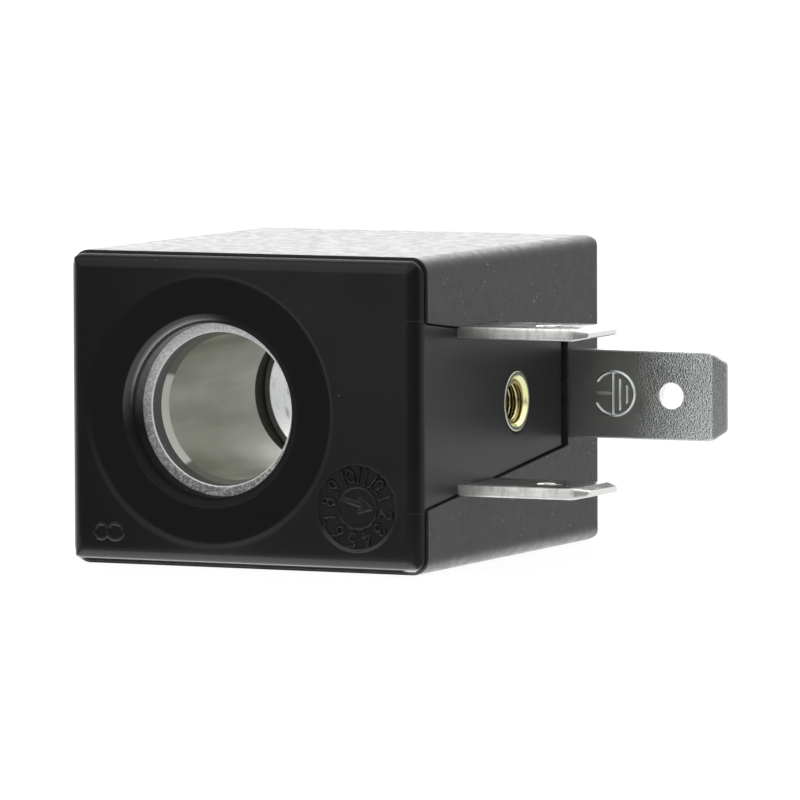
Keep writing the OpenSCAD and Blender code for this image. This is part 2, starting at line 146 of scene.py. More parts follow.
class CoilBlades(bpy.types.PropertyGroup):
    edge: length("Radius along a blade's edges", 0.13)
    corner: length("Radius of a blade's tip corners", 0.4)
    root: length("Radius of a blade's root corners", 0.05)
    tail: length("Length of a live blade's narrow tail", 2.4)
    tail_width: length("Half the width of that tail", 0.6)
    hole: length("Diameter of a blade's hole", 1.8)
    hole_back: length("Tip of a blade to the middle of its hole", 4.1)
    chamfer: length("Tip corners' cut along a blade", 1.2)
    across: length("Tip corners' cut across a blade", 0.75)
    bevel: length("Length of a blade's thinned tip", 1.0)
    tip: share("Thickness left at a blade's tip", 0.5)
    sign: length("Height of the earth sign", 0.14)
    sign_x: length("Bore axis to the middle of the earth sign", 19.85)
    sign_lift: length("Bore axis to the middle of the earth sign, upwards", 0.05)


class CoilInsert(bpy.types.PropertyGroup):
    pitch: length("Pitch of the insert's thread", 0.5)
    depth: length("Depth of the insert's thread", 0.28)
    core: length("Core diameter of the insert's thread", 2.5)
    rim: length("Width of the insert's flat rim", 0.27)
    mouth: length("Depth of the insert's chamfer", 0.3)
    edge: length("Radius of the rim's outer edge", 0.08)


class CoilDial(bpy.types.PropertyGroup):
    x: length("Bore axis to the middle of the dial", 11.35)
    drop: length("Bore axis to the middle of the dial, downwards", 6.4)
    recess: length("Depth of the dial in the front face", 0.2)
    height: length("Height of the dial's marks", 0.17)
    wall: length("Radius of the foot of the dial's wall", 2.93)
    ring: length("Radius of the ring of numerals", 2.25)
    size: length("Height of a numeral", 1.05)
    arrow: length("Radius of the disc with the arrow", 1.45)
    numeral_x: length("Bore axis to the cavity's numeral, to the left", 7.8)
    numeral_drop: length("Bore axis to the cavity's numeral, downwards", 8.66)
    numeral_height: length("Height of the cavity's numeral", 0.085)


class CoilStage(bpy.types.PropertyGroup):
    azimuth: angle("Camera's turn from the front face", 25.19)
    elevation: angle("Camera's height above the level", 4.40)
    roll: angle("Camera's tilt about its own axis", -0.229)
    distance: FloatProperty(description="Camera to the point it looks at", default=0.642,
                            subtype="DISTANCE", unit="LENGTH")
    lens: length("Focal length of the camera", 415.3)
    aim: FloatVectorProperty(description="Point that the camera looks at", size=3, unit="LENGTH",
                             default=(0.012156, -0.009668, 0.000748), subtype="XYZ")
    floor: tint("Colour of the pale floor", (0.82, 0.82, 0.82))
    ahead: share("Light of the mirrored studio ahead of the coil", 0.46)
    fall: share("Share of that light lost towards the right", 0.45)
    near: level("Light of the mirrored floor just ahead", 1.1)
    under: level("Light added to it at the front edge", 2.7)
    beside: level("Light added to it beside the coil", 1.3)
    glint: level("Light of it under the rounded edge", 8.6)


SETTINGS = {
    "coil_stage": CoilStage, "coil_plastics": CoilPlastics, "coil_metals": CoilMetals,
    "coil_blades": CoilBlades, "coil_insert": CoilInsert, "coil_dial": CoilDial,
}


# Shader nodes

class Value:
    """A number or a colour over a surface. Arithmetic on it adds nodes to its tree."""

    def __init__(self, socket):
        self.socket, self.tree = socket, socket.id_data

    def math(self, operation, second=0.0, third=0.0, clamp=False):
        """One step of arithmetic."""
        return add_node(self.tree, "ShaderNodeMath", {0: self, 1: second, 2: third},
                        operation=operation, use_clamp=clamp)[0]

    def vector(self, operation, second=(0.0, 0.0, 0.0)):
        """One step of arithmetic on vectors: its outputs."""
        return add_node(self.tree, "ShaderNodeVectorMath", {0: self, 1: second}, operation=operation)

    def __add__(self, other):
        return self.math("ADD", other)

    def __sub__(self, other):
        return self.math("SUBTRACT", other)

    def __mul__(self, other):
        return self.math("MULTIPLY", other)

    def most(self, other):
        """The higher of two."""
        return self.math("MAXIMUM", other)

    def rise(self, low, high, first=0.0, last=1.0):
        """Goes smoothly from first at low to last at high."""
        return add_node(self.tree, "ShaderNodeMapRange", {
            "Value": self, "From Min": low, "From Max": high, "To Min": first, "To Max": last,
        }, interpolation_type="SMOOTHSTEP")["Result"]

    def fall(self, low, high):
        """Goes smoothly from one at low to none at high."""
        return self.rise(low, high, 1.0, 0.0)

    def steps(self, first, stops):
        """Starts at first and goes smoothly to each stop: its low, high and level."""
        total = last = first
        for low, high, stop in stops:
            total = self.rise(low, high, 0.0, stop - last) + total
            last = stop
        return total

    def mix(self, first, second):
        """A colour between two, by this share."""
        return add_node(self.tree, "ShaderNodeMix", {0: self, 6: first, 7: second}, data_type="RGBA")[2]


class Outputs:
    """A node's outputs as values, by name or number."""

    def __init__(self, node):
        self.node = node

    def __getitem__(self, key):
        return Value(self.node.outputs[key])


def add_node(tree, kind, inputs=None, **settings):
    """Adds a node with its settings, and values or links for its inputs."""
    made = tree.nodes.new(kind)
    for key, value in settings.items():
        setattr(made, key, value)
    for key, value in (inputs or {}).items():
        if isinstance(value, Value):
            tree.links.new(value.socket, made.inputs[key])
        else:
            made.inputs[key].default_value = value
    return Outputs(made)


def titled(key):
    """A socket's or a field's shown name from its Python name."""
    return key.replace("_", " ").title()


def feed(sockets, **sources):
    """Links values to a node's inputs."""
    for key, value in sources.items():
        value.tree.links.new(value.socket, sockets[titled(key)])


def opaque(colour, scale=1.0):
    """A colour times a number or three, with full alpha."""
    return (*np.minimum(1.0, np.array(colour) * scale).tolist(), 1.0)


def object_place(tree):
    """The piece's own coordinates, in metres."""
    return add_node(tree, "ShaderNodeTexCoord")["Object"]


def place_mm(tree):
    """The piece's own coordinates, in millimetres."""
    return object_place(tree).vector("MULTIPLY", (1 / MM,) * 3)["Vector"]


def axes(tree):
    """The piece's own coordinates one by one, in millimetres."""
    return add_node(tree, "ShaderNodeSeparateXYZ", {"Vector": place_mm(tree)})


def from_axis(tree, axis, middle=(0.0, 0.0, 0.0)):
    """Distance from a line along an axis through middle, in millimetres."""
    across = [float(name != axis) for name in "XYZ"]
    moved = place_mm(tree).vector("SUBTRACT", middle)["Vector"]
    return moved.vector("MULTIPLY", across)["Vector"].vector("LENGTH")["Value"]


def noise(tree, scale, detail=3.0, roughness=0.5, stretch=None):
    """Cloudy noise over the piece; stretch scales its three axes apart."""
    place = object_place(tree)
    if stretch:
        place = add_node(tree, "ShaderNodeMapping", {"Vector": place, "Scale": stretch})["Vector"]
    return add_node(tree, "ShaderNodeTexNoise", {
        "Vector": place, "Scale": scale, "Detail": detail, "Roughness": roughness})["Fac"]


def bumped(height, strength, distance, **more):
    """A normal from a height; the distance is in metres."""
    return add_node(height.tree, "ShaderNodeBump", {
        "Strength": strength, "Distance": distance, "Height": height, **more})["Normal"]


def new_group(name, inputs, outputs):
    """An empty shader node group: its inputs with their defaults, and its outputs."""
    tree = bpy.data.node_groups.new(name, "ShaderNodeTree")
    for socket, value in inputs.items():
        made = tree.interface.new_socket(name=socket, in_out="INPUT", socket_type="NodeSocketFloat")
        made.default_value = value
    for socket in outputs:
        kind = "NodeSocketVector" if socket == "Normal" else "NodeSocketFloat"
        tree.interface.new_socket(name=socket, in_out="OUTPUT", socket_type=kind)
    entry = tree.nodes.new("NodeGroupInput")
    leave = tree.nodes.new("NodeGroupOutput")
    return tree, Outputs(entry), leave.inputs


@cache
def skin_group():
    """Moulded skin: fine grain as a normal with rounded edges, and broad patches."""
    tree, entry, leave = new_group(
        "moulded_skin", {"Grain": 4000.0, "Depth": 0.2, "Edge": 0.1 * MM, "Patch": 150.0},
        ["Normal", "Patches", "Grains"])
    grain = noise(tree, entry["Grain"], 3.0, 0.6)
    edge = add_node(tree, "ShaderNodeBevel", {"Radius": entry["Edge"]}, samples=8)["Normal"]
    feed(leave, normal=bumped(grain, entry["Depth"], 0.02 * MM, Normal=edge),
         patches=noise(tree, entry["Patch"], 4.0, 0.55), grains=grain)
    return tree


@cache
def dust_group():
    """Dust: a round speck in a share of scattered cells."""
    tree, entry, leave = new_group(
        "dust_specks", {"Cells": 900.0, "Amount": 0.2, "Size": 0.1}, ["Mask"])
    cells = add_node(tree, "ShaderNodeTexVoronoi", {"Vector": object_place(tree), "Scale": entry["Cells"]})
    pick, reach, strength = add_node(tree, "ShaderNodeSeparateColor", {"Color": cells["Color"]})
    chosen = pick.math("LESS_THAN", entry["Amount"])
    inside = cells["Distance"].math("LESS_THAN", entry["Size"] * reach)
    feed(leave, mask=chosen * (inside * strength))
    return tree


@cache
def wear_group():
    """Edge wear: how far the rounded normal departs from the true one, broken up by noise."""
    tree, entry, leave = new_group(
        "worn_edges", {"Radius": 0.2 * MM, "Break Up": 800.0}, ["Mask"])
    edge = add_node(tree, "ShaderNodeBevel", {"Radius": entry["Radius"]}, samples=8)["Normal"]
    plain = add_node(tree, "ShaderNodeNewGeometry")["True Normal"]
    along = edge.vector("DOT_PRODUCT", plain)["Value"]
    feed(leave, mask=along.rise(0.99, 0.8) * noise(tree, entry["Break Up"]))
    return tree


@cache
def speckle_group():
    """Plating: small hammered cells as a height, and how light each cell is."""
    tree, entry, leave = new_group(
        "plated_speckle", {"Cells": 6000.0, "Blotch": 500.0}, ["Height", "Shade"])
    cells = add_node(tree, "ShaderNodeTexVoronoi", {"Vector": object_place(tree), "Scale": entry["Cells"]},
                     feature="SMOOTH_F1")
    lightness, _, _ = add_node(tree, "ShaderNodeSeparateColor", {"Color": cells["Color"]})
    feed(leave, height=cells["Distance"], shade=lightness * 0.5 + noise(tree, entry["Blotch"]) * 0.5)
    return tree


def placed(tree, group, **inputs):
    """Places a shared group in a material with its own values."""
    return add_node(tree, "ShaderNodeGroup", {titled(key): value for key, value in inputs.items()},
                    node_tree=group)


def skinned(tree, grain, depth, edge, patch, clouds=(0.3, 0.7)):
    """Places the moulded skin: its patches, from dark to light, its grains and its normal."""
    skin = placed(tree, skin_group(), grain=grain, depth=depth, edge=edge * MM, patch=patch)
    return skin["Patches"].rise(*clouds), skin["Grains"], skin["Normal"]


def new_material(name, metallic=0.0, specular=0.5):
    """An empty material with its shader: returns the material, its tree and the shader's inputs."""
    made = bpy.data.materials.new(name)
    made.use_nodes = True
    tree = made.node_tree
    shader = tree.nodes["Principled BSDF"].inputs
    shader["Metallic"].default_value = metallic
    shader["Specular IOR Level"].default_value = specular
    return made, tree, shader


# Finishes: places are in millimetres

def shell_finish(settings):
    """Satin black: fine grain, cloudy scuffs, pale dust and slightly worn edges."""
    made, tree, shader = new_material("shell_satin_black", specular=0.26)
    black = partial(opaque, settings.shell)
    patches, grains, normal = skinned(tree, 5200.0, 0.5, settings.edge, 1300.0)
    dust = placed(tree, dust_group(), cells=1300.0, amount=0.12, size=0.11)["Mask"]
    fine = placed(tree, dust_group(), cells=3600.0, amount=0.05, size=0.16)["Mask"]
    wear = placed(tree, wear_group(), radius=0.25 * MM, break_up=1500.0)["Mask"]
    clean = patches.mix(black(0.86), black(1.17))
    wear_and_highlight = (wear * 0.5).mix(clean, black(3.0))
    scuffed = patches * 0.1 + (settings.shell_rough - 0.1)
    feed(shader, base_color=dust.most(fine).mix(wear_and_highlight, opaque(settings.dust)),
         roughness=grains * 0.1 + scuffed, normal=normal)
    return made


def front_finish(settings, marks, name, edge):
    """Glossy black: near-mirror, greyer outside the round seat and away from the face's ends as painted
    reflection and shade, with flow patches, a few specks, a painted highlight on the lower edge of the dial,
    parting lines and a dull lip round the hole that is polished at its upper left."""
    made, tree, shader = new_material(name, specular=0.22)
    black = partial(opaque, settings.front)
    patches, _, normal = skinned(tree, 2600.0, 0.06, edge, 110.0)
    dust = placed(tree, dust_group(), cells=700.0, amount=0.12, size=0.06)["Mask"]
    x, _, z = axes(tree)
    radius = from_axis(tree, "Y")
    right = FRONT_HIGH[0]
    outside = radius.rise(settings.seat - 0.2, settings.seat)
    slope = outside * radius.fall(settings.seat + 0.2, settings.seat + 0.3)
    side = x.rise(right - 1.05, right - 0.85)
    tongue = x.rise(right - 0.2, right + 0.1, 0.0, 0.5)
    left = x.rise(FRONT_LOW[0] + 0.3, 1.0, 0.15, 1.0)
    # Painted reflection and shade: the seat is dark and the face outside it greyer, fading towards the face's
    # left end, darker on the right fillet and lighter again on the tongue.
    grey = outside * (left * (side * -0.9 + (tongue + 1.0)))
    dial = from_axis(tree, "Y", (marks.x, 0.0, -marks.drop))
    band = dial.rise(marks.wall - 0.12, marks.wall) * dial.fall(marks.wall + 0.1, marks.wall + 0.2)
    low = z.fall(-marks.drop - 2.6, -marks.drop - 1.0)
    upper_wall = band * (low * -0.55 + 0.55)
    line = z.math("ABSOLUTE").math("COMPARE", settings.parting, 0.03)
    parting = line * x.rise(right - 1.2, right - 0.8, 0.0, 0.3)
    cloudy = patches.mix(black(0.8), black(1.2))
    plain = grey.mix(black(0.2), cloudy)
    # Painted highlight on the lower part of the dial's wall.
    clean = (band * low).most(parting).mix(plain, black(5.0))
    even = patches * 0.06 + (settings.front_rough - 0.03)
    lip = radius.fall(settings.lip, settings.lip + 0.2)
    feed(shader, base_color=dust.mix(clean, opaque(settings.dust, 0.5)),
         roughness=side.most(slope) * 0.17 + even + (lip * 0.45 + upper_wall),
         coat_weight=lip * (z - x).rise(4.8, 8.6), normal=normal)
    shader["Coat Roughness"].default_value = 0.25
    shader["Coat IOR"].default_value = 2.2
    return made


def bobbin_finish(settings):
    """Cream plastic with soft patches and streaks of painted light, lighter deeper in the bore and darker at
    the top as
    painted light and shade: the lead-in has a painted highlight where it faces the light and painted shade
    elsewhere, and the groove ahead of the flux sleeve is dark."""
    made, tree, shader = new_material("bobbin_cream")
    cream = partial(opaque, settings.bobbin)
    patches, grains, normal = skinned(tree, 2500.0, 0.12, 0.05, 150.0)
    x, y, z = axes(tree)
    front, start = PLATE_HIGH[1], SLEEVE_LOW[1] - settings.groove
    groove = y.rise(start - 0.1, start + 0.05)
    # Painted highlight on the sector of the lead-in that faces the light; the rest of the lead-in gets
    # painted shade.
    turn = z.math("ARCTAN2", x * -1.0)
    lit = turn.rise(-0.89, -0.82) * turn.fall(0.39, 0.46)
    end = front + settings.lead_in
    lead_in = y.fall(end - 0.06, end + 0.02)
    # Painted light and shade: lighter deeper in the bore and lower down, darker near its front and towards
    # the top; the streaks are painted light as well.
    deep = y.rise(front, 2.0) * z.rise(0.5, 4.5, 1.0, 0.1)
    light_streaks = noise(tree, 1.0, stretch=(420.0, 55.0, 420.0)).rise(0.35, 0.65)
    clouded = patches * 0.25 + light_streaks * 0.45
    cloud = deep.math("MULTIPLY_ADD", 0.55, clouded, clamp=True)
    wall = cloud.mix(cream(OLIVE_SHARES), cream(1.14))
    cone = lit.mix(cream(0.3), LEAD_IN_HIGHLIGHT)
    feed(shader, base_color=lead_in.mix(groove.mix(wall, GROOVE_DARK), cone),
         roughness=groove * 0.4 + (grains * 0.15 + 0.32), normal=normal)
    return made


def plain_finish(name, colour, rough, metallic=0.0, grain=3000.0, depth=0.3):
    """A moulded, cast or woven finish: grain and patches about one colour."""
    made, tree, shader = new_material(name, metallic)
    patches, grains, normal = skinned(tree, grain, depth, 0.05, 300.0)
    feed(shader, base_color=patches.mix(opaque(colour, 0.85), opaque(colour, 1.15)),
         roughness=grains * 0.2 + (rough - 0.1), normal=normal)
    return made


def zinc_finish(settings):
    """Zinc plate: fine spangles, lighter upwards as painted light and chalkier upwards, on a slightly dimpled
    skin;
    the bore's front edge has a painted highlight and the wall behind it is darkened as painted shade."""
    made, tree, shader = new_material("zinc_plate", 0.75)
    zinc = partial(opaque, settings.zinc)
    speckle = placed(tree, speckle_group(), cells=10500.0, blotch=900.0)
    _, y, z = axes(tree)
    wall = y.rise(PLATE_LOW[1] + 0.1, PLATE_LOW[1] + 0.2) * y.fall(0.0, 5.0)
    shade = speckle["Shade"].rise(0.33, 0.67)
    low = shade.mix(zinc(0.36), zinc(0.88))
    high = shade.mix(zinc(), zinc(1.35))
    inner = settings.plate_bore / 2
    # Painted highlight: a thin white line round the bore's front edge.
    edge = from_axis(tree, "Y").fall(inner + 0.04, inner + 0.08) * wall.fall(0.0, 0.5)
    # Painted light: the face is lighter upwards and darker downwards.
    face = edge.mix(z.rise(-6.0, 6.0).mix(low, high), WHITE)
    chalky = edge.most(z.rise(-1.0, 4.0))
    # Painted shade: from just behind the plate's front face to 5 mm along Y, the bore's wall and the yoke are
    # darkened.
    feed(shader, base_color=wall.mix(face, zinc(0.3)), metallic=chalky * -0.65 + 0.75,
         roughness=shade * -0.15 + 0.7, normal=bumped(speckle["Height"], 0.4, 0.03 * MM))
    return made


def sleeve_finish(settings):
    """Drawn steel: bright, with fine lines round the tube, some stains and a dull cut end."""
    made, tree, shader = new_material("drawn_sleeve", 0.6)
    zinc = partial(opaque, settings.zinc)
    _, y, _ = axes(tree)
    lines = noise(tree, 1.0, stretch=(250.0, 6000.0, 250.0))
    end = y.fall(SLEEVE_LOW[1] + 0.1, SLEEVE_LOW[1] + 0.2)
    clean = lines.mix(zinc(0.9), zinc(1.25))
    stained = noise(tree, 800.0, 5.0).rise(0.5, 0.68).mix(clean, SLEEVE_STAIN)
    feed(shader, base_color=end.mix(stained, zinc(0.9)), roughness=lines * 0.2 + 0.25)
    return made


def tin_finish(settings, near_y, tip_x):
    """Bright tin: fine lines along the strip and clouds; the sheared edge at near_y is dull with marks across
    it and darkened towards the body as painted shade, and the tip is greyer."""
    made, tree, shader = new_material("bright_tin", 1.0)
    tin = partial(opaque, settings.tin)
    x, y, _ = axes(tree)
    sheared = y.fall(near_y + 0.1, near_y + 0.2)
    tip = x.rise(tip_x - 1.2, tip_x - 0.6)
    lines = noise(tree, 1.0, 4.0, stretch=(160.0, 7000.0, 7000.0))
    cloud = noise(tree, 500.0)
    worn = cloud.rise(0.35, 0.65)
    # Painted shade: the sheared edge darkens towards the body.
    root = sheared * (cloud * 4.0 + x).fall(19.0, 22.8)
    torn = sheared * noise(tree, 1.0, stretch=(3200.0, 500.0, 1500.0)).rise(0.45, 0.7)
    clean = worn.mix(tin(0.82), tin())
    lined = lines.rise(0.55, 0.75).mix(clean, tin(0.65))
    marked = (torn * 0.3).mix(lined, tin(0.35))
    shaded = (root * 0.33).mix(marked, tin(0.15))
    feed(shader, base_color=tip.mix(shaded, tin(0.8)),
         roughness=worn * 0.06 + (sheared * 0.26 + (lines * 0.12 + 0.12)),
         normal=bumped(lines, 0.15, 0.01 * MM))
    return made


def earth_finish(settings, blades):
    """Grey plating: smooth and darkened by the body as painted shade, finely hammered and paler towards the
    tip, dull again on the thinned tip, with a painted highlight along the bend and a painted reflection in
    the hole's wall."""
    made, tree, shader = new_material("earth_grey_plate", 1.0)
    grey = partial(opaque, settings.earth)
    x, _, _ = axes(tree)
    cloud = noise(tree, 420.0, 4.0)
    wander = cloud * 3.0 + x
    hammered = wander.rise(22.0, 25.8)
    bend = EARTH_HIGH[0] - blades.bevel
    # Painted highlight: a bright line along the bend into the thinned tip.
    knee = x.math("COMPARE", bend, 0.05)
    # Painted shade by the body, where the blade leaves the slot.
    slot = x.fall(SHELL_HIGH[0] - 0.5, SHELL_HIGH[0] - 0.1)
    thinned = x.rise(bend - 0.1, bend + 0.1)
    hole_r = blades.hole / 2
    hole = (EARTH_HIGH[0] - blades.hole_back, 0.0, 0.0)
    # Painted reflection: the hole's wall is painted near white, as it mirrors the white background.
    wall = from_axis(tree, "Y", hole).fall(hole_r + 0.04, hole_r + 0.09)
    speckle = placed(tree, speckle_group(), cells=9500.0, blotch=600.0)
    spots = speckle["Shade"].rise(0.35, 0.7) * hammered
    clear = wander.rise(23.2, 28.5).mix(grey(1.3), grey(2.5))
    base = slot.mix(clear, grey(0.25))
    spotted = (spots * 0.5).mix(base, grey(2.5))
    dull = (thinned * 0.7).mix(spotted, grey(0.6))
    lined = (knee * 0.7).mix(dull, grey(2.6))
    feed(shader, base_color=wall.mix(lined, HOLE_WALL_REFLECTION), roughness=cloud * 0.16 + 0.32,
         normal=bumped(speckle["Height"] * hammered, 0.9, 0.06 * MM))
    return made


def brass_finish(settings, insert):
    """Turned brass: fine grain with brown in the patches, bright on the chamfer, painted shade in the
    thread's roots and grey on the rim."""
    made, tree, shader = new_material("turned_brass", 1.0)
    patches, grains, normal = skinned(tree, 6000.0, 0.2, 0.03, 1400.0, (0.3, 0.55))
    radius = from_axis(tree, "X", (0.0, (INSERT_LOW[1] + INSERT_HIGH[1]) / 2, 0.0))
    crest = insert.core / 2
    root = crest + insert.depth
    rim = (INSERT_HIGH[1] - INSERT_LOW[1]) / 2 - insert.rim
    # Painted shade in the thread's roots.
    root_shade = radius.rise(crest + 0.06, crest + 0.14) * radius.fall(root + 0.01, root + 0.06)
    clean = patches.mix(opaque(settings.brass, BROWN_SHARES), opaque(settings.brass))
    turned = radius.rise(root + 0.02, root + 0.06).mix(clean, BRASS_CHAMFER)
    thread = root_shade.mix(turned, BRASS_ROOT_SHADE)
    feed(shader, base_color=radius.rise(rim - 0.04, rim + 0.02).mix(thread, BRASS_RIM),
         roughness=grains * 0.2 + 0.14, normal=normal)
    return made


def dress(finish, *nodes):
    """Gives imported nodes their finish."""
    for node in nodes:
        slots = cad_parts[node].data.materials
        slots.clear()
        slots.append(finish)


# Surfaces: points are in millimetres, and those of a plane path are complex numbers

def grid_faces(rows, columns):
    """Quads of a grid that closes on itself both ways."""
    row = np.arange(rows)[:, None]
    column = np.arange(columns)[None, :]
    below = (row + 1) % rows
    beside = (column + 1) % columns
    return np.stack([row * columns + column, row * columns + beside,
                     below * columns + beside, below * columns + column], axis=-1).reshape(-1, 4)


def tube_faces(rows, columns):
    """Quads of a grid closed across and open along, with both ends filled by strips."""
    side = grid_faces(rows, columns)[:(rows - 1) * columns]
    first = np.arange(columns // 2 - 1)
    cap = np.stack([first, first + 1, columns - 2 - first, columns - 1 - first], 1)
    return np.r_[side, cap[:, ::-1], cap + (rows - 1) * columns]


def outward(points, faces):
    """Turns the quads round if they enclose a negative volume."""
    a, b, c, d = (points[faces[:, k]] for k in range(4))
    volume = np.einsum("ij,ij->i", a, np.cross(b, c) + np.cross(c, d)).sum()
    return faces if volume > 0 else faces[:, ::-1]


def new_piece(name, shells, finish, replaces=()):
    """A piece of the coil from closed shells, each of points and quads."""
    starts = np.cumsum([0] + [len(points) for points, _ in shells[:-1]])
    points = np.concatenate([points for points, _ in shells])
    faces = np.concatenate([outward(*shell) + start for shell, start in zip(shells, starts)])
    mesh = bpy.data.meshes.new(name)
    mesh.from_pydata((points * MM).tolist(), [], faces.tolist(), shade_flat=False)
    if mesh.validate():
        raise RuntimeError(f"{name}: the surface has faces that can't be used")
    piece = bpy.data.objects.new(name, mesh)
    bpy.context.scene.collection.objects.link(piece)
    mesh.materials.append(finish)
    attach(piece, "root")
    if replaces:
        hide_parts(*replaces)


def unit(path):
    """Directions of length one."""
    return path / abs(path)


def solid(flat, tall):
    """Plane points and their heights as points in space."""
    return np.stack([flat.real, flat.imag, tall], -1).reshape(-1, 3)


def rounded_outline(corners, radii, steps=14):
    """Points and outward normals of an outline with rounded corners. The corners go round anticlockwise, and
    an inward one has to have no radius."""
    along = unit(corners - np.roll(corners, 1))
    before, after = -1j * along, -1j * np.roll(along, -1)
    middle = (before + after) / 2
    centres = corners - radii * middle / abs(middle) ** 2
    turn = np.mod(np.angle(after / before), 2 * np.pi)
    normals = before[:, None] * np.exp(1j * turn[:, None] * np.linspace(0, 1, steps))
    return (centres[:, None] + radii[:, None] * normals).ravel(), normals.ravel()


def refined(points, normals, step):
    """An outline with points added along it, at most a step apart."""
    parts = np.maximum(1, np.ceil(abs(np.roll(points, -1) - points) / step)).astype(int)
    which = np.repeat(np.arange(len(points)), parts)
    way = (np.arange(parts.sum()) - np.repeat(np.cumsum(parts) - parts, parts)) / parts[which]
    made, lean = (path[which] * (1 - way) + np.roll(path, -1)[which] * way for path in (points, normals))
    return made, unit(lean)


def at_angles(outline, normals, centre, step, fine_step=0.05, least=0.002):
    """An outline sampled by its angle about a point inside it: every step and at each of its own points,
    but for those nearer than the least angle."""
    fine, lean = refined(outline, normals, fine_step)
    turn = np.unwrap(np.angle(fine - centre))
    own = turn[0] + np.mod(np.angle(outline - centre) - turn[0], 2 * np.pi)
    even = turn[0] + np.arange(0, 2 * np.pi, step)
    angles = np.unique(np.round(np.r_[own, even], 4))
    angles = angles[np.r_[True, np.diff(angles) > least]]
    turn = np.r_[turn, turn[0] + 2 * np.pi]
    angles = angles[angles < turn[-1] - least]
    where, facing = (np.interp(angles, turn, np.r_[path, path[0]]) for path in (fine, lean))
    return where, unit(facing)


def thickness(x, tip, bevel, left, knee=0.05):
    """Share of a blade's thickness along it: falls over the bevel from a soft knee."""
    past = x - (tip - bevel)
    soft = (past + np.sqrt(past * past + knee * knee)) / 2
    return 1 - (1 - left) * np.minimum(soft / bevel, 1.0)


def blade_surface(settings, outline, normals, hole, tip, half_t):
    """A flat blade with a hole: one parameter runs round the outline, the other round the section, which
    climbs the hole's wall, crosses the face, goes round the edge's radius and comes back mirrored."""
    edge_r, lip = settings.edge, 0.6 * settings.edge
    arc = np.linspace(0, np.pi / 2, 6)
    face = np.r_[0.005, 0.03, 0.1, 0.2, 0.3, 0.4, 0.5, np.linspace(0.55, 0.98, 26), 0.995]
    blank = np.zeros_like(face)
    way = np.r_[0.0, 0 * arc, face, 0 * arc + 1, 1.0]
    from_wall = np.r_[0.0, lip * (1 - np.cos(arc)), blank + lip, 0 * arc, 0.0]
    from_edge = np.r_[0.0, 0 * arc, blank + edge_r, edge_r * (1 - np.sin(arc)), 0.0]
    height = np.r_[0.0, half_t - lip * (1 - np.sin(arc)), blank + half_t,
                   half_t - edge_r * (1 - np.cos(arc)), 0.0]
    back = slice(-2, 0, -1)
    way, from_wall, from_edge = (np.r_[a, a[back]] for a in (way, from_wall, from_edge))
    height = np.r_[height, -height[back]]
    start = hole + unit(outline - hole) * (settings.hole / 2 + from_wall)[:, None]
    finish = outline - normals * from_edge[:, None]
    flat = start + (finish - start) * way[:, None]
    tall = height[:, None] * thickness(flat.real, tip, settings.bevel, settings.tip)
    return solid(flat, tall), grid_faces(len(way), len(outline))


def blade(settings, tip, half, half_t, root_corners, root_radii):
    """A blade that points to +X, with cut tip corners; the root's corners are those of one half."""
    side = np.array([*root_corners, tip - settings.chamfer + 1j * half, tip + 1j * (half - settings.across)])
    radii = np.array([*root_radii, settings.corner, settings.corner])
    outline, normals = rounded_outline(np.r_[side.conj(), side[::-1]], np.r_[radii, radii[::-1]])
    hole = tip - settings.hole_back
    outline, normals = at_angles(outline, normals, hole, math.radians(2))
    return blade_surface(settings, outline, normals, hole, tip, half_t)


def ridge(path, half_width, height, foot=0.03, ends=5, last_turn=1.5):
    """A rounded bead along a flat path: across it the height follows a squared cosine, below it a foot goes
    into what carries it, and both ends narrow as a quarter circle does, almost to a point."""
    run = unit(np.gradient(path))
    turn = np.linspace(0, last_turn, ends + 1)[1:]
    before = path[0] - run[0] * half_width * np.sin(turn[::-1])
    after = path[-1] + run[-1] * half_width * np.sin(turn)
    line = np.r_[before, path, after]
    run = np.r_[run[:1].repeat(ends), run, run[-1:].repeat(ends)]
    width = np.r_[np.cos(turn[::-1]), np.ones(len(path)), np.cos(turn)][:, None]
    across = np.linspace(-1, 1, 9)
    offset = np.r_[across, 1.0, -1.0, -1.0]
    rise = np.r_[height * np.cos(across * np.pi / 2) ** 2, -foot, -foot, -foot / 2]
    flat = line[:, None] + 1j * run[:, None] * offset * width * half_width
    tall = np.where(rise > 0, rise * width, rise)
    return solid(flat, tall), tube_faces(len(line), len(offset))


def arc_path(radius, start, stop, steps=40):
    """Points along part of a circle, between two angles in degrees."""
    return radius * np.exp(1j * np.radians(np.linspace(start, stop, steps)))


def scaled(path, wide, tall):
    """A path made wider and taller."""
    return path.real * wide + 1j * path.imag * tall


def on_front(shells, x, z, y):
    """Shells drawn as (right, up, out) set on a plane that faces the front."""
    return [(np.stack([x + p[:, 0], y - p[:, 2], z + p[:, 1]], 1), faces) for p, faces in shells]


def bow(radius, start, stop, middle, wide=1.8):
    """A widened arc of a numeral, in numeral heights; middle is how high its centre is."""
    return scaled(arc_path(radius, start, stop, 16) + 1j * middle, wide, 1.0)


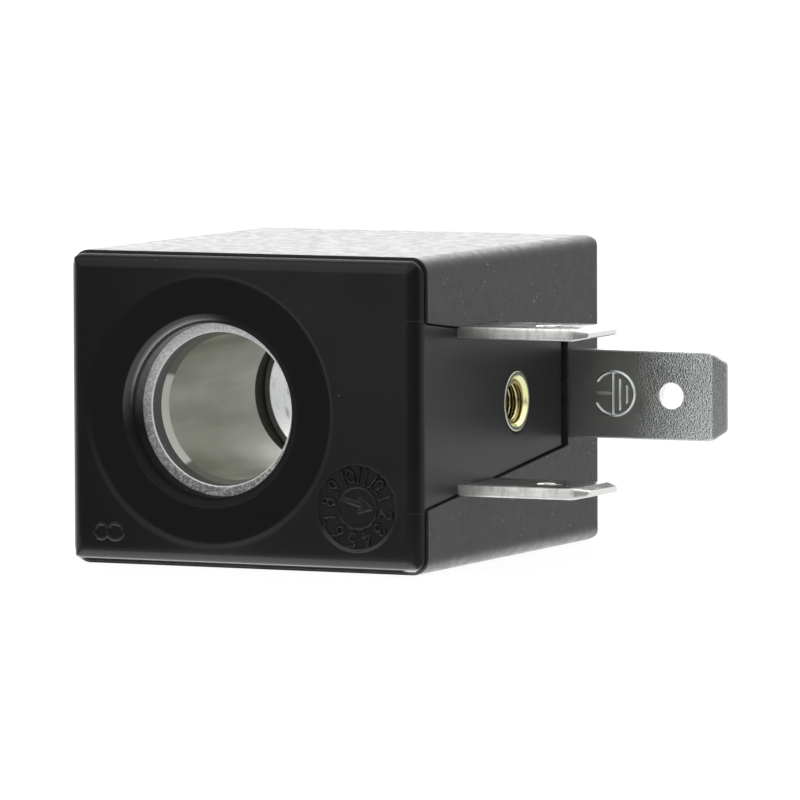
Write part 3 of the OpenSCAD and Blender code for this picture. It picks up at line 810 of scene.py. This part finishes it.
# Strokes of each digit, in numeral heights
DIGITS = {
    "0": [scaled(arc_path(1.0, 0, math.degrees(6.2), 28), 0.55, 0.5)],
    "1": [np.linspace(-0.5j, 0.5j, 12)],
    "2": [np.r_[bow(0.27, 170, -40, 0.23), -0.45 - 0.5j, 0.5 - 0.5j]],
    "3": [bow(0.25, 150, -80, 0.25), bow(0.27, 80, -150, -0.23)],
    "4": [np.linspace(0.25 - 0.5j, 0.25 + 0.5j, 12),
          np.array([0.25 + 0.5j, -0.2 + 0.1j, -0.55 - 0.2j, -0.2j, 0.55 - 0.2j])],
    "5": [np.r_[0.45 + 0.5j, -0.4 + 0.5j, -0.4 + 0.05j, bow(0.3, 120, -140, -0.2, 1.7)]],
    "6": [np.r_[0.35 + 0.5j, -0.2 + 0.25j, bow(0.28, 160, 500, -0.22)]],
    "7": [np.array([-0.5 + 0.5j, 0.5j, 0.5 + 0.5j, 0.2, -0.1 - 0.5j])],
    "8": [bow(0.24, 0, 350, 0.26), bow(0.27, 0, 350, -0.23, 1.9)],
    "9": [np.r_[bow(0.28, 340, 0, 0.22), 0.2 - 0.25j, -0.35 - 0.5j]],
}


# Stage and operators

# Each lamp's place, width, height and power, in metres and watts
LAMPS = {
    "lamp_above": ((0.15, 0.35, 0.60), 1.20, 1.00, 2.8),
    "lamp_front": ((-0.05, -0.48, 0.45), 1.60, 1.00, 3.8),
    "lamp_right": ((0.55, 0.05, 0.25), 0.35, 0.40, 0.5),
    "lamp_behind": ((-0.32, 0.56, 0.22), 0.70, 0.45, 2.6),
}
SENSOR_MM = 36.0
CLIP = (0.01, 20.0)
FLOOR_REACH = 4.0
FLOOR_GAP = 0.03 * MM
FLOOR_SEEN = 1.05
WORLD_GREY = 0.3


def ray_kinds(tree):
    """Whether a ray comes from the camera, and whether from a mirror or a glass."""
    path = add_node(tree, "ShaderNodeLightPath")
    return path["Is Camera Ray"], path["Is Glossy Ray"].most(path["Is Transmission Ray"])


class COIL_OT_stage(bpy.types.Operator):
    """Camera, pale floor, soft lamps and a white background"""
    bl_idname = "coil.stage"
    bl_label = "Stage"

    def execute(self, context):
        settings = context.scene.coil_stage
        self.add_camera(context.scene, settings)
        self.add_floor(context.scene, settings)
        self.add_lamps(context.scene)
        self.add_world(context.scene, settings)
        context.scene.view_settings.view_transform = "Standard"
        return {"FINISHED"}

    def add_camera(self, scene, settings):
        """The camera stands off along the line of sight and is rolled about it."""
        turns = ((settings.azimuth, "Z"), (math.pi / 2 - settings.elevation, "X"), (settings.roll, "Z"))
        turn, raised, rolled = (Matrix.Rotation(by, 3, axis) for by, axis in turns)
        facing = turn @ raised @ rolled
        data = bpy.data.cameras.new("camera")
        data.lens = settings.lens
        data.sensor_width = SENSOR_MM
        data.clip_start, data.clip_end = CLIP
        camera = bpy.data.objects.new("camera", data)
        scene.collection.objects.link(camera)
        eye = Vector(settings.aim) + facing.col[2] * settings.distance
        camera.matrix_world = Matrix.Translation(eye) @ facing.to_4x4()
        scene.camera = camera

    def add_floor(self, scene, settings):
        """A wide pale sheet under the coil. To the camera it is white but for a faint shadow; to mirrors it
        glows as
        painted light: white beside and behind the coil, bright at its front edge, greyer further ahead and,
        as a painted shadow, dark under it."""
        base = SHELL_LOW[2] * MM - FLOOR_GAP
        corners = [(FLOOR_REACH * x, FLOOR_REACH * y, base) for x, y in ((-1, -1), (1, -1), (1, 1), (-1, 1))]
        mesh = bpy.data.meshes.new("floor")
        mesh.from_pydata(corners, [], [(0, 1, 2, 3)])
        floor = bpy.data.objects.new("floor", mesh)
        scene.collection.objects.link(floor)
        made, tree, shader = new_material("pale_floor", specular=0.1)
        shader["Base Color"].default_value = opaque(settings.floor)
        shader["Roughness"].default_value = 0.9
        from_camera, mirrored = ray_kinds(tree)
        x, y, _ = axes(tree)
        front, rear = FRONT_LOW[1], SHELL_HIGH[1]
        left, right = SHELL_LOW[0], SHELL_HIGH[0]
        along = y.steps(settings.ahead, [
            (front - 13.0, front - 8.0, settings.near), (front - 1.0, front + 1.0, 1.0)])
        far = y.fall(front - 13.0, front - 8.0) * x.rise(-20.0, 30.0, 0.0, settings.ahead * settings.fall)
        # Painted light for mirrors: the floor glows brighter just ahead of the coil's front edge and
        # brightest under its rounded edge.
        strip = y.steps(0.0, [
            (front - 3.0, front - 0.6, settings.under), (front + 0.2, front + 0.4, settings.glint),
            (front + 0.6, front + 1.0, 0.0)])
        strip_ends = x.steps(0.0, [(left - 0.5, left, 1.0), (right, right + 0.5, 0.0)])
        beside = x.steps(0.0, [
            (right - 1.5, right - 0.8, settings.beside), (right - 0.1, right + 1.2, 0.0)])
        bare = strip * strip_ends + (along - far + beside)
        # Painted shadow for mirrors: under the coil the floor hardly glows.
        deep = y.rise(front + 0.43, front + 0.5) * y.fall(rear - 1.0, rear)
        wide = x.rise(left, left + 1.0) * x.fall(right - 2.0, right - 1.4)
        shown = bare * (deep * wide * -0.97 + 1.0)
        strength = add_node(tree, "ShaderNodeMix", {0: from_camera, 2: shown, 3: FLOOR_SEEN},
                            data_type="FLOAT")[0]
        glow = add_node(tree, "ShaderNodeEmission", {"Color": WHITE, "Strength": strength})["Emission"]
        seen = from_camera * from_axis(tree, "Z").rise(60.0, 200.0, 0.9, 1.0)
        lit = Outputs(tree.nodes["Principled BSDF"])["BSDF"]
        blend = add_node(tree, "ShaderNodeMixShader", {0: seen.most(mirrored), 1: lit, 2: glow})
        feed(tree.nodes["Material Output"].inputs, surface=blend[0])
        mesh.materials.append(made)

    def add_lamps(self, scene):
        """Soft boxes above, in front, at the right and low behind."""
        for name, (place, wide, tall, power) in LAMPS.items():
            data = bpy.data.lights.new(name, "AREA")
            data.shape = "RECTANGLE"
            data.size, data.size_y, data.energy = wide, tall, power
            lamp = bpy.data.objects.new(name, data)
            scene.collection.objects.link(lamp)
            lamp.location = place
            lamp.rotation_euler = Vector(place).to_track_quat("Z", "Y").to_euler()
            lamp.visible_camera = False

    def add_world(self, scene, settings):
        """White where it is seen or mirrored from behind the coil, and a plain grey light elsewhere."""
        world = bpy.data.worlds.new("studio")
        world.use_nodes = True
        tree = world.node_tree
        from_camera, mirrored = ray_kinds(tree)
        x, y, _ = add_node(tree, "ShaderNodeSeparateXYZ", {
            "Vector": add_node(tree, "ShaderNodeTexCoord")["Generated"]})
        ahead = x.rise(-0.3, 0.2, settings.ahead, settings.ahead * (1 - settings.fall))
        shown = mirrored * y.rise(0.1, 0.85, ahead, 1.0)
        background = tree.nodes["Background"].inputs
        feed(background, strength=from_camera.most(shown.most(WORLD_GREY)))
        background["Color"].default_value = WHITE
        scene.world = world


class COIL_OT_mouldings(bpy.types.Operator):
    """Finishes of the shell, the front moulding, the resin and the bobbin"""
    bl_idname = "coil.mouldings"
    bl_label = "Mouldings"

    def execute(self, context):
        settings, marks = context.scene.coil_plastics, context.scene.coil_dial
        dress(shell_finish(settings), "outer_shell")
        dress(front_finish(settings, marks, "front_gloss_black", settings.soft), "front_moulding")
        dress(plain_finish("potting_resin", RESIN_BLACK, 0.5), "potting_resin")
        dress(bobbin_finish(settings), "bobbin")
        return {"FINISHED"}


class COIL_OT_yoke(bpy.types.Operator):
    """Finishes of the yoke's plate, bracket and flux sleeve"""
    bl_idname = "coil.yoke"
    bl_label = "Yoke"

    def execute(self, context):
        settings = context.scene.coil_metals
        dress(zinc_finish(settings), "front_yoke_plate", "yoke_bracket")
        dress(sleeve_finish(settings), "flux_sleeve")
        return {"FINISHED"}


class COIL_OT_winding(bpy.types.Operator):
    """Finishes of the winding, its tape, leads, sleeving and solder"""
    bl_idname = "coil.winding"
    bl_label = "Winding"

    def execute(self, context):
        copper = context.scene.coil_metals.copper
        dress(plain_finish("enamelled_copper", copper, 0.3, 1.0), "winding", "start_lead", "finish_lead")
        dress(plain_finish("yellow_tape", TAPE_YELLOW, 0.35, depth=0.1), "winding_tape", "lead_anchor_tape")
        dress(plain_finish("woven_sleeving", SLEEVING_CREAM, 0.85, grain=9000.0, depth=0.8),
              "start_sleeving", "finish_sleeving")
        dress(plain_finish("dull_solder", SOLDER_GREY, 0.4, 1.0), "solder_joints")
        return {"FINISHED"}


class COIL_OT_live_blades(bpy.types.Operator):
    """Two tinned blades with rounded edges, a bored hole, a thinned tip and a narrow tail"""
    bl_idname = "coil.live_blades"
    bl_label = "Live blades"

    def execute(self, context):
        settings = context.scene.coil_blades
        first, last = corners_mm("live_blade_upper")
        tin = tin_finish(context.scene.coil_metals, first[1], last[0])
        for node in ("live_blade_upper", "live_blade_lower"):
            low, high = corners_mm(node)
            _, middle_y, middle_z = (low + high) / 2
            _, half, half_t = (high - low) / 2
            end, root = low[0], low[0] + settings.tail
            points, faces = blade(
                settings, high[0], half, half_t,
                [end + 1j * settings.tail_width, root + 1j * settings.tail_width, root + 1j * half],
                [settings.root, 0.0, settings.root])
            shells = [(points + [0.0, middle_y, middle_z], faces)]
            new_piece(node + "_tinned", shells, tin, [node])
        return {"FINISHED"}


class COIL_OT_earth_blade(bpy.types.Operator):
    """Earth blade with rounded edges and the raised earth sign, and its rivet's finish"""
    bl_idname = "coil.earth_blade"
    bl_label = "Earth blade"

    def execute(self, context):
        settings, metals = context.scene.coil_blades, context.scene.coil_metals
        _, half_t, half = (EARTH_HIGH - EARTH_LOW) / 2
        middle_y, tip, root = (EARTH_LOW[1] + EARTH_HIGH[1]) / 2, EARTH_HIGH[0], EARTH_LOW[0]
        grey = earth_finish(metals, settings)
        shell = blade(settings, tip, half, half_t, [root + 1j * half], [settings.root])
        new_piece("earth_blade_plated", on_front([shell], 0.0, 0.0, middle_y), grey,
                  ["earth_blade"])
        # The earth sign is painted paler than the blade, as a painted highlight on its ridges.
        wear_and_highlight = plain_finish("earth_sign_highlight", opaque(metals.earth, 2.7)[:3], 0.32, 1.0, depth=0.1)
        sign = on_front(self.sign(settings.sign), settings.sign_x, settings.sign_lift, EARTH_LOW[1])
        new_piece("earth_sign", sign, wear_and_highlight)
        dress(grey, "earth_rivet")
        return {"FINISHED"}

    def sign(self, height, half_width=0.13):
        """A circle open towards the body, a stem that enters it there, and three bars, each shorter."""
        strokes = [arc_path(1.55, -150, 145, 90), np.linspace(-1.4 + 0j, -0.15 + 0j, 12),
                   np.linspace(-0.1 - 1.38j, -0.1 + 1.38j, 24), np.linspace(0.43 - 1.1j, 0.43 + 0.95j, 18),
                   np.linspace(0.98 - 0.6j, 0.98 + 0.5j, 12)]
        return [ridge(stroke, half_width, height) for stroke in strokes]


class COIL_OT_screw_insert(bpy.types.Operator):
    """Brass insert with a turned rim and a real thread"""
    bl_idname = "coil.screw_insert"
    bl_label = "Screw insert"

    def execute(self, context):
        settings = context.scene.coil_insert
        brass = brass_finish(context.scene.coil_metals, settings)
        _, outer, _ = (INSERT_HIGH - INSERT_LOW) / 2
        _, middle_y, middle_z = (INSERT_LOW + INSERT_HIGH) / 2
        points, faces = self.threaded(outer, INSERT_HIGH[0], INSERT_LOW[0], settings)
        shells = [(points + [0.0, middle_y, middle_z], faces)]
        new_piece("threaded_insert_brass", shells, brass, ["threaded_insert"])
        return {"FINISHED"}

    def threaded(self, outer, face, back, settings):
        """A ring turned about X: the section goes up the outside, over the rim and down the bore, where the
        radius swings between core and root once a pitch and turn, with straight flanks."""
        core, edge = settings.core / 2, settings.edge
        turn = np.linspace(0, 2 * np.pi, 96, endpoint=False)
        arc = np.linspace(0, np.pi / 2, 5)
        bore_x = np.linspace(face - settings.mouth, back, 130)
        mouth = np.linspace(0, 1, 5)
        wide, narrow = outer - settings.rim, core + settings.depth
        radius = np.r_[outer, outer, outer - edge * (1 - np.cos(arc)), wide + (narrow - wide) * mouth,
                       0 * bore_x + core]
        along = np.r_[back, back + 1.0, face - edge * (1 - np.sin(arc)),
                      face - (settings.mouth - 0.02) * mouth, bore_x]
        cut = np.r_[np.zeros(len(radius) - len(bore_x)), np.ones(len(bore_x))]
        phase = np.mod(along[:, None] / settings.pitch + turn[None, :] / (2 * np.pi), 1.0)
        flank = np.clip(1.5 - 3.2 * np.abs(phase - 0.5), 0.0, 1.0)
        r = radius[:, None] + cut[:, None] * settings.depth * flank
        points = np.stack([np.repeat(along[:, None], len(turn), 1), r * np.cos(turn), r * np.sin(turn)], -1)
        return points.reshape(-1, 3), grid_faces(len(radius), len(turn))


class COIL_OT_date_dial(bpy.types.Operator):
    """Date dial of the mould: a ring of plain numerals round a disc with an arrow"""
    bl_idname = "coil.date_dial"
    bl_label = "Date dial"

    def execute(self, context):
        settings, plastics = context.scene.coil_dial, context.scene.coil_plastics
        black = front_finish(plastics, settings, "mark_gloss_black", plastics.edge)
        shells = []
        for number in range(1, 13):
            shells += self.numeral(str(number), math.radians(80 - 30 * (number - 11)), settings)
        shells += self.arrow(settings)
        floor_y = FRONT_LOW[1] + settings.recess
        new_piece("date_dial", on_front(shells, settings.x, -settings.drop, floor_y), black)
        return {"FINISHED"}

    def numeral(self, text, bearing, settings, wide=0.45, tall=0.9, gap=0.496, half_width=0.15):
        """A number's strokes, turned so that its foot points to the dial's middle."""
        out = np.exp(1j * bearing)
        shells = []
        for place, digit in enumerate(text):
            shift = (place - (len(text) - 1) / 2) * gap
            for stroke in DIGITS[digit]:
                drawn = (scaled(stroke, wide, tall) + shift) * settings.size
                shells.append(ridge(out * (settings.ring - 1j * drawn), half_width, settings.height))
        return shells

    def arrow(self, settings):
        """A bead at the foot of the dial's wall, the disc's rim and an arrow with two barbs."""
        rim = arc_path(settings.arrow, 5, 355, 72)
        foot = arc_path(settings.wall, 205, 345, 60)
        tip, tail, low = 1.0 + 0.05j, -1.0 + 0.6j, 0.4 * settings.height
        barbs = [np.linspace(tip, tip + back, 12) for back in (-0.75 + 0.6j, -0.85 - 0.25j)]
        return [ridge(foot, 0.13, 0.9 * settings.recess), ridge(rim, 0.12, 0.55 * settings.height),
                ridge(np.linspace(tail, tip, 12), 0.24, low), *[ridge(barb, 0.22, low) for barb in barbs]]


class COIL_OT_mould_numeral(bpy.types.Operator):
    """Plain numeral of the mould's cavity, lying on its side"""
    bl_idname = "coil.mould_numeral"
    bl_label = "Mould numeral"

    def execute(self, context):
        settings = context.scene.coil_dial
        loops = [scaled(arc_path(1.0, 0, 350, 48), 0.5, 0.52) - 0.62,
                 scaled(arc_path(1.0, 180, 530, 48), 0.62, 0.56) + 0.46]
        shells = [ridge(loop, 0.16, settings.numeral_height) for loop in loops]
        shells = on_front(shells, -settings.numeral_x, -settings.numeral_drop, FRONT_LOW[1])
        black = bpy.data.objects["date_dial"].data.materials[0]
        new_piece("mould_numeral", shells, black)
        return {"FINISHED"}


class COIL_PT_panel(bpy.types.Panel):
    """Lists the coil's settings and the steps that make it"""
    bl_idname = "COIL_PT_panel"
    bl_label = "Solenoid valve coil"
    bl_space_type = "VIEW_3D"
    bl_region_type = "UI"
    bl_category = "Coil"

    def draw(self, context):
        for operator in OPERATORS:
            self.layout.operator(operator.bl_idname)
        for name, kind in SETTINGS.items():
            box = self.layout.box()
            for field in kind.__annotations__:
                box.prop(getattr(context.scene, name), field, text=titled(field))


OPERATORS = (COIL_OT_stage, COIL_OT_mouldings, COIL_OT_yoke, COIL_OT_winding, COIL_OT_live_blades,
             COIL_OT_earth_blade, COIL_OT_screw_insert, COIL_OT_date_dial, COIL_OT_mould_numeral)
CLASSES = (*SETTINGS.values(), *OPERATORS, COIL_PT_panel)


def register():
    for kind in CLASSES:
        bpy.utils.register_class(kind)
    for name, kind in SETTINGS.items():
        setattr(bpy.types.Scene, name, PointerProperty(type=kind))


def unregister():
    for name in SETTINGS:
        delattr(bpy.types.Scene, name)
    for kind in reversed(CLASSES):
        bpy.utils.unregister_class(kind)


def main():
    """Makes the coil's looks, the stage and camera first."""
    register()
    bpy.ops.coil.stage()
    bpy.ops.coil.mouldings()
    bpy.ops.coil.yoke()
    bpy.ops.coil.winding()
    bpy.ops.coil.live_blades()
    bpy.ops.coil.earth_blade()
    bpy.ops.coil.screw_insert()
    bpy.ops.coil.date_dial()
    bpy.ops.coil.mould_numeral()
    bpy.context.view_layer.update()


if __name__ == "__main__":
    main()
